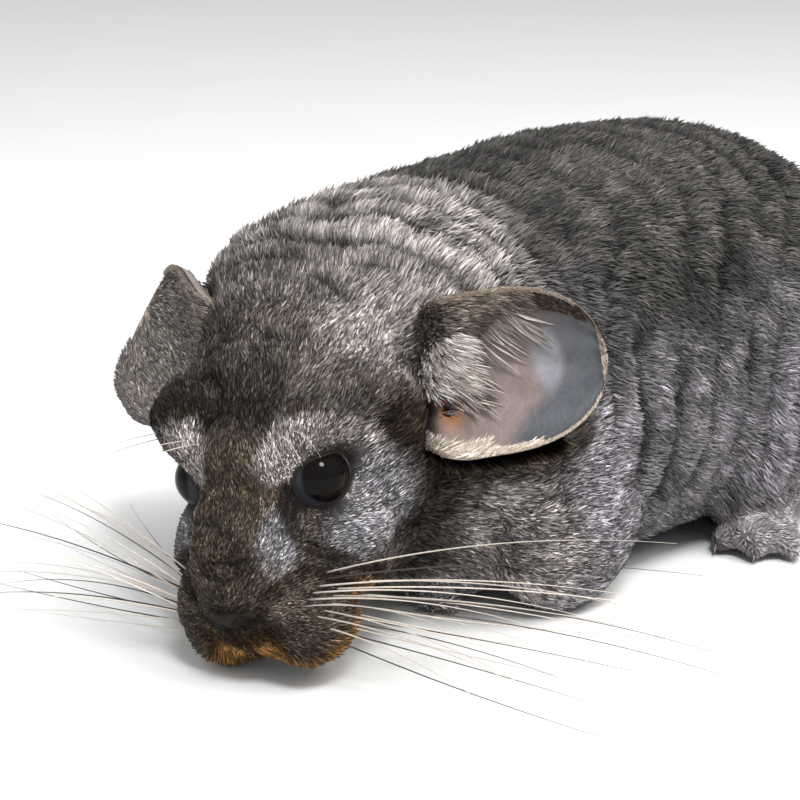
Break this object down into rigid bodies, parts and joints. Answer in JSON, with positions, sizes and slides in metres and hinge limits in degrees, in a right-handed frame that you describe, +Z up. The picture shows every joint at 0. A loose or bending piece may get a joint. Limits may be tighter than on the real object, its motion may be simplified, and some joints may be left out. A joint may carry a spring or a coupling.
{
  "type": "crouching chinchilla model",
  "caption": "Life-size still model of a grey chinchilla lying on its belly, head lowered and turned, with cupped ears, long whiskers and a bushy tail laid on the floor.",
  "frame": {"origin": "on the floor under the middle of the animal's bounding box, tail and whiskers included", "axes": "the animal faces -Y, its left side is +X, +Z is up from the floor it lies on"},
  "size_m": [0.1828, 0.3264, 0.0846],
  "materials": {
    "coat_grey": "dense soft fur, agouti grey",
    "coat_pale": "short soft fur, pale grey",
    "coat_brown": "very short fur, brownish grey",
    "tail_coat": "long bristly hair, dark grey",
    "ear_skin": "thin bare skin with fine hair",
    "eye": "wet and dark",
    "nose_skin": "dark, slightly moist skin"
  },
  "bodies": {
    "root": {"head": "coat_grey", "torso": "coat_grey", "haunch_left": "coat_grey", "haunch_right": "coat_grey", "foreleg_left": "coat_grey", "foreleg_right": "coat_grey", "neck": "coat_pale", "hind_foot_left": "coat_pale", "hind_foot_right": "coat_pale", "forepaw_left": "coat_pale", "forepaw_right": "coat_pale", "muzzle": "coat_brown", "lower_jaw": "coat_brown", "tail_base": "tail_coat", "tail_middle": "tail_coat", "tail_tip": "tail_coat", "ear_left": "ear_skin", "ear_right": "ear_skin", "eye_left": "eye", "eye_right": "eye", "nose": "nose_skin"}
  },
  "joints": []
}
